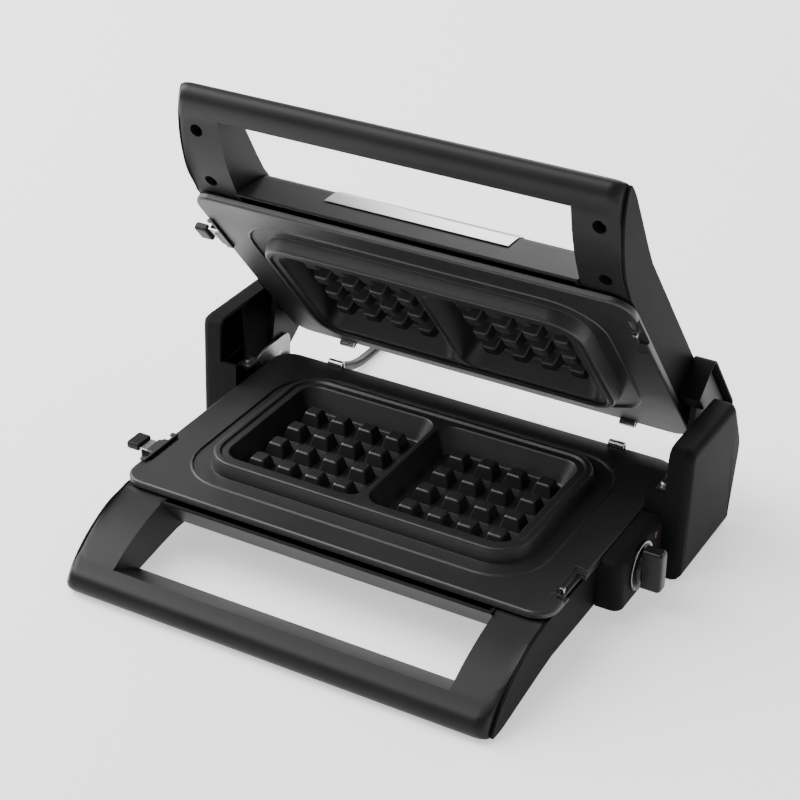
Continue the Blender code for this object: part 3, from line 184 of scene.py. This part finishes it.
def metal(name, colour, roughness, mottle=900):
    """Plain or plated metal with a faint mottle and rubbed patches."""
    made, tree, shader = new_material(name, colour, roughness, 1.0)
    place = coordinates(tree)
    spots = noise(tree, place, mottle, 3.0)
    slow = noise(tree, place, 45, 3.0)
    darker = tuple(channel * 0.72 for channel in colour)
    tree.links.new(tint(tree, slow, darker, colour), shader.inputs["Base Color"])
    tree.links.new(spread(tree, spots, roughness - 0.06, roughness + 0.08), shader.inputs["Roughness"])
    bump(tree, shader, spots, 0.12, 0.00004)
    return made


def matte(name, colour, roughness, scale=1500, strength=0.35):
    """Rubber, ceramic or print: matt, with a fine powdery surface."""
    made, tree, shader = new_material(name, colour, roughness)
    place = coordinates(tree)
    fine = noise(tree, place, scale, 3.0)
    slow = noise(tree, place, 30, 2.0)
    lighter = tuple(min(channel * 1.18 + 0.003, 1) for channel in colour)
    tree.links.new(tint(tree, slow, colour, lighter), shader.inputs["Base Color"])
    tree.links.new(spread(tree, fine, roughness - 0.05, roughness + 0.06), shader.inputs["Roughness"])
    bump(tree, shader, fine, strength, 0.00006)
    return made


def woven(name, colour, roughness):
    """A strap of coarse threads, from two crossed waves."""
    made, tree, shader = new_material(name, colour, roughness)
    place = coordinates(tree)
    heights = []
    for direction in ("X", "Z"):
        wave = tree.nodes.new("ShaderNodeTexWave")
        wave.bands_direction = direction
        wave.inputs["Scale"].default_value = 260
        wave.inputs["Distortion"].default_value = 0.6
        tree.links.new(place, wave.inputs["Vector"])
        heights.append(wave.outputs["Fac"])
    mixed = tree.nodes.new("ShaderNodeMath")
    mixed.operation = "MULTIPLY"
    tree.links.new(heights[0], mixed.inputs[0])
    tree.links.new(heights[1], mixed.inputs[1])
    # Painted shade: the colour follows the weave's heights, darker in the hollows between the threads and lighter
    # on their crests
    lighter = tuple(channel * 2.0 for channel in colour)
    tree.links.new(tint(tree, mixed.outputs[0], colour, lighter, 0.0, 1.0), shader.inputs["Base Color"])
    bump(tree, shader, mixed.outputs[0], 0.6, 0.0003)
    return made


def lens_red(name):
    """Clear red plastic over a lamp."""
    made, tree, shader = new_material(name, (0.045, 0.003, 0.005), 0.34, 0.0, 0.3)
    place = coordinates(tree)
    slow = noise(tree, place, 700, 2.0)
    darker = (0.040, 0.002, 0.004)
    lighter = (0.075, 0.004, 0.007)
    tree.links.new(tint(tree, slow, darker, lighter), shader.inputs["Base Color"])
    tree.links.new(spread(tree, slow, 0.30, 0.38), shader.inputs["Roughness"])
    return made


def lamp_glass(name):
    made, tree, shader = new_material(name, (0.80, 0.76, 0.70), 0.08)
    place = coordinates(tree)
    slow = noise(tree, place, 500, 2.0)
    tree.links.new(tint(tree, slow, (0.72, 0.66, 0.58), (0.84, 0.80, 0.74)), shader.inputs["Base Color"])
    tree.links.new(spread(tree, slow, 0.06, 0.12), shader.inputs["Roughness"])
    shader.inputs["Transmission Weight"].default_value = 0.6
    return made


black = moulded("black_plastic", (0.0085, 0.0085, 0.0090), 0.43, 0.17)
# A copy of the black plastic with a darker base colour, which is painted shade, and a duller sheen, for the side
# covers, hinge housings, lid hinge covers and control box
black_shaded = moulded("shaded_plastic", (0.0065, 0.0065, 0.0070), 0.55, 0.04)
black_smooth = moulded("gloss_plastic", (0.0070, 0.0070, 0.0075), 0.30, 0.28, 0.08)
coating = coated("nonstick", (0.0090, 0.0090, 0.0095), 0.44)
steel_panel = brushed("brushed_steel", (0.66, 0.66, 0.66), 0.30, 0)
plated = metal("bright_steel", (0.55, 0.56, 0.57), 0.28)
pressed = metal("pressed_steel", (0.40, 0.40, 0.39), 0.42)
reflecting = metal("reflector_metal", (0.52, 0.52, 0.52), 0.36)
sheath = metal("element_metal", (0.22, 0.21, 0.19), 0.48, 400)
print_white = matte("print_white", (0.80, 0.80, 0.80), 0.50, 3000, 0.05)
print_ring = moulded("print_ring", (0.0065, 0.0065, 0.0070), 0.34, 0.35, 0.10)
ceramic = matte("ceramic", (0.68, 0.65, 0.58), 0.62, 900)
rubber = matte("rubber", (0.020, 0.020, 0.020), 0.74)
cord_skin = matte("cord_sheath", (0.014, 0.014, 0.015), 0.42, 1200, 0.12)
strap = woven("tie_strap", (0.020, 0.020, 0.022), 0.72)
red = lens_red("red_lens")
glass = lamp_glass("lamp_glass")

FINISHES = {
    "black_plastic": black, "gloss_plastic": black_smooth, "nonstick": coating, "brushed_steel": steel_panel,
    "bright_steel": plated, "pressed_steel": pressed, "reflector_metal": reflecting, "element_metal": sheath,
    "print_ring": print_ring, "ceramic": ceramic, "rubber": rubber, "cord_sheath": cord_skin,
    "tie_strap": strap, "red_lens": red, "lamp_glass": glass,
}
SLOTS = {entry["node"]: entry["material_slot"] for entry in frame["record"]["subparts"]}
BODIES = {name: body for body, names in frame["record"]["behaviour"]["bodies"].items() for name in names}

for name, node in nodes.items():
    node.data.materials.clear()
    node.data.materials.append(FINISHES[SLOTS[name]])


# Places in the drawing of one half, whose front edge is y = 0 and whose table is z = 0. The lid is the
# same drawing turned over, and stands open.

front_edge = -0.0872
hinge_back = 0.1884
hinge_height = 0.0427
shut_height = 0.1110
open_angle = math.radians(51.6)


def placed(half, x, y, z):
    if half == "base":
        return Vector((x, y + front_edge, z))
    back = y - hinge_back
    rise = shut_height - z - hinge_height
    return Vector((
        x,
        front_edge + hinge_back + back * math.cos(open_angle) + rise * math.sin(open_angle),
        hinge_height - back * math.sin(open_angle) + rise * math.cos(open_angle),
    ))


# Pieces


def place_piece(name, mesh, finish, body):
    made = bpy.data.objects.new(name, mesh)
    if finish is not None:
        mesh.materials.clear()
        mesh.materials.append(finish)
    bpy.context.scene.collection.objects.link(made)
    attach(made, body)
    return made


def soften(piece, width, segments, angle):
    edge = piece.modifiers.new("round", "BEVEL")
    edge.width = width
    edge.segments = segments
    edge.limit_method = "ANGLE"
    edge.angle_limit = math.radians(angle)
    edge.use_clamp_overlap = True
    edge.miter_outer = "MITER_ARC"
    weigh = piece.modifiers.new("weigh", "WEIGHTED_NORMAL")
    weigh.keep_sharp = False


def carved(mesh, half, cuts):
    """The mesh without the boxes of the drawing that are cut from it, one after another."""
    for spans in cuts:
        whole = bpy.data.objects.new("whole", mesh)
        tool = bpy.data.objects.new("tool", bpy.data.meshes.new("tool"))
        shape = bmesh.new()
        for vert in bmesh.ops.create_cube(shape, size=1)["verts"]:
            corner = [span[1] if value > 0 else span[0] for value, span in zip(vert.co, spans)]
            vert.co = placed(half, *corner)
        bmesh.ops.recalc_face_normals(shape, faces=shape.faces[:])
        shape.to_mesh(tool.data)
        shape.free()
        for thing in (whole, tool):
            bpy.context.scene.collection.objects.link(thing)
        cut = whole.modifiers.new("cut", "BOOLEAN")
        cut.operation = "DIFFERENCE"
        cut.solver = "EXACT"
        cut.object = tool
        mesh = bpy.data.meshes.new_from_object(whole.evaluated_get(bpy.context.evaluated_depsgraph_get()))
        for thing in (whole, tool):
            bpy.data.objects.remove(thing)
    return mesh


def refine(name, width, segments=3, angle=32, finish=None, flat=1.0, cuts=()):
    """A copy of a node with its edges rounded as the moulding tool leaves them. It stands for the node."""
    mesh = nodes[name].data.copy()
    shape = bmesh.new()
    shape.from_mesh(mesh)
    bmesh.ops.remove_doubles(shape, verts=shape.verts[:], dist=0.000002)
    bmesh.ops.dissolve_limit(
        shape, angle_limit=math.radians(flat), verts=shape.verts[:], edges=shape.edges[:],
    )
    shape.to_mesh(mesh)
    shape.free()
    mesh = carved(mesh, BODIES[name], cuts)
    mesh.shade_smooth()
    piece = place_piece("looks_" + name, mesh, finish or FINISHES[SLOTS[name]], BODIES[name])
    soften(piece, width, segments, angle)
    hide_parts(name)
    return piece


def slab(name, half, outline, low, high, finish, soft, upright=True):
    """A slab of the drawing: an outline of (x, y) between two heights, or of (x, z) between two depths."""
    shape = bmesh.new()
    rings = []
    for level in (low, high):
        places = [(x, other, level) if upright else (x, level, other) for x, other in outline]
        rings.append([shape.verts.new(placed(half, *place)) for place in places])
    bottom, top = rings
    shape.faces.new(bottom)
    shape.faces.new(top)
    for spot in range(len(outline)):
        shape.faces.new((bottom[spot - 1], bottom[spot], top[spot], top[spot - 1]))
    bmesh.ops.recalc_face_normals(shape, faces=shape.faces[:])
    mesh = bpy.data.meshes.new(name)
    shape.to_mesh(mesh)
    shape.free()
    mesh.shade_smooth()
    piece = place_piece(name, mesh, finish, half)
    soften(piece, soft, 2, 30)
    return piece


# Cord, from the strain relief to the plug, as the model routes it

cord_radius = 0.0035
tie_sheet = 0.0008
gap = 0.0003
coil_x = -0.0875
coil_y = 0.2640
coil_radius = 0.0455
coil_step = 0.0076
coil_turns = 4.25
coil_points = 24
climb_turns = 0.5
tail_steps = 6
tail_run = 0.0360
plug_radius = 0.0185

free_route = [
    (-0.1320, 0.1312, 0.0170), (-0.1320, 0.1380, 0.0170), (-0.1320, 0.1475, 0.0150),
    (-0.1321, 0.1570, 0.0108), (-0.1323, 0.1670, 0.0066), (-0.1325, 0.1780, 0.0042),
    (-0.1327, 0.1920, 0.0036), (-0.1328, 0.2060, 0.0036), (-0.1329, 0.2205, 0.0038),
    (-0.1330, 0.2350, 0.0044), (-0.1330, 0.2480, 0.0046), (-0.1330, 0.2567, 0.0046),
]


def coil_route():
    """The coil's turns: a layer that spirals in, a climb, a layer that spirals out, and the tail."""
    low = cord_radius + tie_sheet + gap
    points = [Vector((coil_x - coil_radius, coil_y - cord_radius * 2, low))]
    turn_back = coil_turns / 2
    for step in range(round(coil_turns * coil_points) + 1):
        turns = step / coil_points
        radius = coil_radius - coil_step * (turn_back - abs(turns - turn_back))
        climb = min(max((turns - turn_back + climb_turns / 2) / climb_turns, 0), 1)
        angle = math.pi - math.tau * turns
        points.append(Vector((
            coil_x + radius * math.cos(angle), coil_y + radius * math.sin(angle), low + coil_step * climb,
        )))
    end = points[-1]
    rise = plug_radius - end.z
    for step in range(1, tail_steps + 1):
        share = step / tail_steps
        ease = share * share * (3 - 2 * share)
        points.append(end + Vector((tail_run * share, 0, rise * ease)))
    points.append(points[-1] + Vector((cord_radius * 2, 0, 0)))
    return points


def cord_piece():
    points = [Vector(point) for point in free_route[:-1]] + coil_route()
    curve = bpy.data.curves.new("cord", "CURVE")
    curve.dimensions = "3D"
    curve.bevel_depth = cord_radius
    curve.bevel_resolution = 5
    curve.use_fill_caps = True
    line = curve.splines.new("POLY")
    line.points.add(len(points) - 1)
    for spot, point in zip(line.points, points):
        spot.co = (*point, 1)
    line.use_smooth = True
    curve.materials.append(cord_skin)
    made = bpy.data.objects.new("cord", curve)
    bpy.context.scene.collection.objects.link(made)
    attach(made, "base")
    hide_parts("power_cord", "power_cord_coil")
    return made


cord_piece()


# Side notches of the plates, in the drawing. The lid's sit further back than the base's.

notch_shift = {"base": 0.0, "lid": 0.0095}
catch_shift = {"base": 0.0, "lid": 0.0165}
rib_inner = -0.1456
rib_outer = -0.1472
rib_lug = -0.1502
guide_outer = -0.1526
groove_width = 0.0022
cut_outer = 0.1505
cut_top = 0.0470
lug_inner = 0.1406
lug_outer = 0.1468
lug_width = 0.0011
hook_face = 0.1458
hook_back = 0.1452
hook_tip = 0.1430


# Rounded edges on the moulded and pressed pieces

for name in ("base_shell", "lid_shell"):
    refine(name, 0.0012)
for name in ("lower_handle_frame", "lid_handle_frame"):
    refine(name, 0.0006, 2)
# Side covers, housings, hinge covers and control box take the copy of the black plastic that is darkened as
# painted shade
for name in ("lower_side_cover_left", "lower_side_cover_right", "lid_side_cover_left"):
    refine(name, 0.0004, 2, finish=black_shaded)
cover_slots = (
    (0.0422, 0.0434, 0.0348), (0.0632, 0.0688, 0.0384),
    (0.0775, 0.0920, 0.0386), (0.1075, 0.1215, 0.0382),
)
refine("lid_side_cover_right", 0.0004, 2, finish=black_shaded, cuts=[
    ((0.1468, 0.1483), (start, end), (low, 0.0405)) for start, end, low in cover_slots
])
for name in ("hinge_housing_left", "hinge_housing_right"):
    refine(name, 0.0007, 3, finish=black_shaded)
for name in ("lid_hinge_cover_left", "lid_hinge_cover_right", "control_box"):
    refine(name, 0.0006, 3, finish=black_shaded)
for name in ("lower_plate", "upper_plate"):
    shift = notch_shift[BODIES[name]]
    refine(name, 0.0005, 3, 28, cuts=[
        ((rib_inner, rib_inner + groove_width), (0.0240 + shift, 0.0550 + shift), (0.0449, cut_top)),
        ((0.1418, cut_outer), (0.0235 + shift, 0.0535 + shift), (0.0452, cut_top)),
        ((0.1468, cut_outer), (0.0270 + shift, 0.0495 + shift), (0.0400, 0.0460)),
    ])
for name in ("thermostat_knob", "lower_release_button", "upper_release_button"):
    refine(name, 0.0004, 3)
for name in (
    "lower_latch", "upper_latch", "lower_plate_clip_left", "lower_plate_clip_right",
    "upper_plate_clip_left", "upper_plate_clip_right", "lid_top_panel",
):
    refine(name, 0.00012, 2)


# Ribs, lugs and hooks at the plates' side notches

for half in ("base", "lid"):
    rib = notch_shift[half]
    catch = catch_shift[half]
    slab("catch_rib_" + half, half, [
        (rib_inner, 0.0210 + rib), (rib_inner, 0.0570 + rib), (rib_lug, 0.0570 + rib),
        (rib_lug, 0.0540 + rib), (rib_outer, 0.0532 + rib), (rib_outer, 0.0482 + catch),
        (-0.1504, 0.0478 + catch), (-0.1506, 0.0462 + catch), (guide_outer, 0.0455 + catch),
        (guide_outer, 0.0320 + catch), (-0.1474, 0.0312 + catch), (rib_outer, 0.0245 + rib),
        (rib_lug, 0.0240 + rib), (rib_lug, 0.0210 + rib),
    ], 0.0459, 0.0479, coating, 0.0004)
    for side, place in (("front", 0.0222), ("back", 0.0535)):
        start = place + rib
        end = start + lug_width
        slab("notch_lug_" + side + "_" + half, half, [
            (lug_inner, start), (lug_outer, start), (lug_outer, end), (lug_inner, end),
        ], 0.0458, 0.0467, coating, 0.0003)
    slab("plate_hook_" + half, half, [
        (hook_back, 0.0433), (hook_face, 0.0433), (hook_face, 0.0470), (hook_tip, 0.0470),
        (hook_tip, 0.0464), (hook_back, 0.0464),
    ], 0.0283 + rib, 0.0308 + rib, plated, 0.0002, upright=False)


# Printed scale on the dial ring

dial_face = 0.16542
dial_y = 0.0106
dial_z = 0.02835
print_sheet = 0.00004


def arc(shape, start, end, inner, outer, steps=48):
    """A printed arc, from one angle to another in degrees, between radii that change along it."""
    rings = []
    for step in range(steps + 1):
        share = step / steps
        angle = math.radians(start + (end - start) * share)
        ring = []
        for radii, x in ((inner, 0), (outer, 0), (outer, 1), (inner, 1)):
            radius = radii[0] + (radii[1] - radii[0]) * share
            ring.append(shape.verts.new((
                dial_face + x * print_sheet, dial_y + radius * math.cos(angle), dial_z + radius * math.sin(angle),
            )))
        rings.append(ring)
    for before, after in zip(rings, rings[1:]):
        for side in range(4):
            shape.faces.new((before[side], after[side], after[side - 1], before[side - 1]))
    shape.faces.new(rings[0])
    shape.faces.new(rings[-1])


scale = bmesh.new()
arc(scale, 212, 20, (0.0148, 0.0149), (0.0151, 0.0157))
arc(scale, 92, 20, (0.0146, 0.0137), (0.0147, 0.0142), 20)
for angle in (226, 232):
    arc(scale, angle, angle - 1.6, (0.0138, 0.0138), (0.0154, 0.0154), 2)
bmesh.ops.recalc_face_normals(scale, faces=scale.faces[:])
scale_mesh = bpy.data.meshes.new("dial_scale")
scale.to_mesh(scale_mesh)
scale.free()
place_piece("dial_scale", scale_mesh, print_white, "base")


# Floor and light

floor_mesh = bpy.data.meshes.new("floor")
reach = 6.0
floor_mesh.from_pydata(
    [(-reach, -reach, 0), (reach, -reach, 0), (reach, reach, 0), (-reach, reach, 0)], [], [(0, 1, 2, 3)],
)
floor = bpy.data.objects.new("floor", floor_mesh)
floor.location.z = -0.0002
floor_paint, floor_tree, floor_shader = new_material("floor_paint", (0.93, 0.93, 0.93), 0.75)
floor_slow = noise(floor_tree, coordinates(floor_tree), 3, 2.0)
floor_tint = tint(floor_tree, floor_slow, (0.925, 0.925, 0.925), (0.935, 0.935, 0.935))
floor_tree.links.new(floor_tint, floor_shader.inputs["Base Color"])
floor_shader.inputs["Emission Color"].default_value = (1, 1, 1, 1)
floor_shader.inputs["Emission Strength"].default_value = 0.75
floor_mesh.materials.append(floor_paint)
bpy.context.scene.collection.objects.link(floor)

world = bpy.data.worlds.new("studio")
world.use_nodes = True
world.node_tree.nodes["Background"].inputs["Color"].default_value = (1.0, 1.0, 1.0, 1)
world.node_tree.nodes["Background"].inputs["Strength"].default_value = 0.32
bpy.context.scene.world = world


def softbox(name, place, target, width, height, power):
    data = bpy.data.lights.new(name, "AREA")
    data.shape = "RECTANGLE"
    data.size = width
    data.size_y = height
    data.energy = power
    lamp = bpy.data.objects.new(name, data)
    lamp.location = place
    lamp.rotation_euler = (Vector(place) - Vector(target)).to_track_quat("Z", "Y").to_euler()
    bpy.context.scene.collection.objects.link(lamp)


middle = (0.0, 0.0, 0.1)
softbox("light_left", (-2.4, 0.0, 1.5), middle, 2.0, 1.6, 88)
softbox("light_right", (2.4, 0.9, 1.4), middle, 2.0, 1.4, 9)
softbox("light_back", (-0.3, 2.8, 1.5), middle, 2.4, 1.2, 55)
softbox("light_over", (-1.1, -0.5, 2.2), middle, 2.0, 2.0, 72)
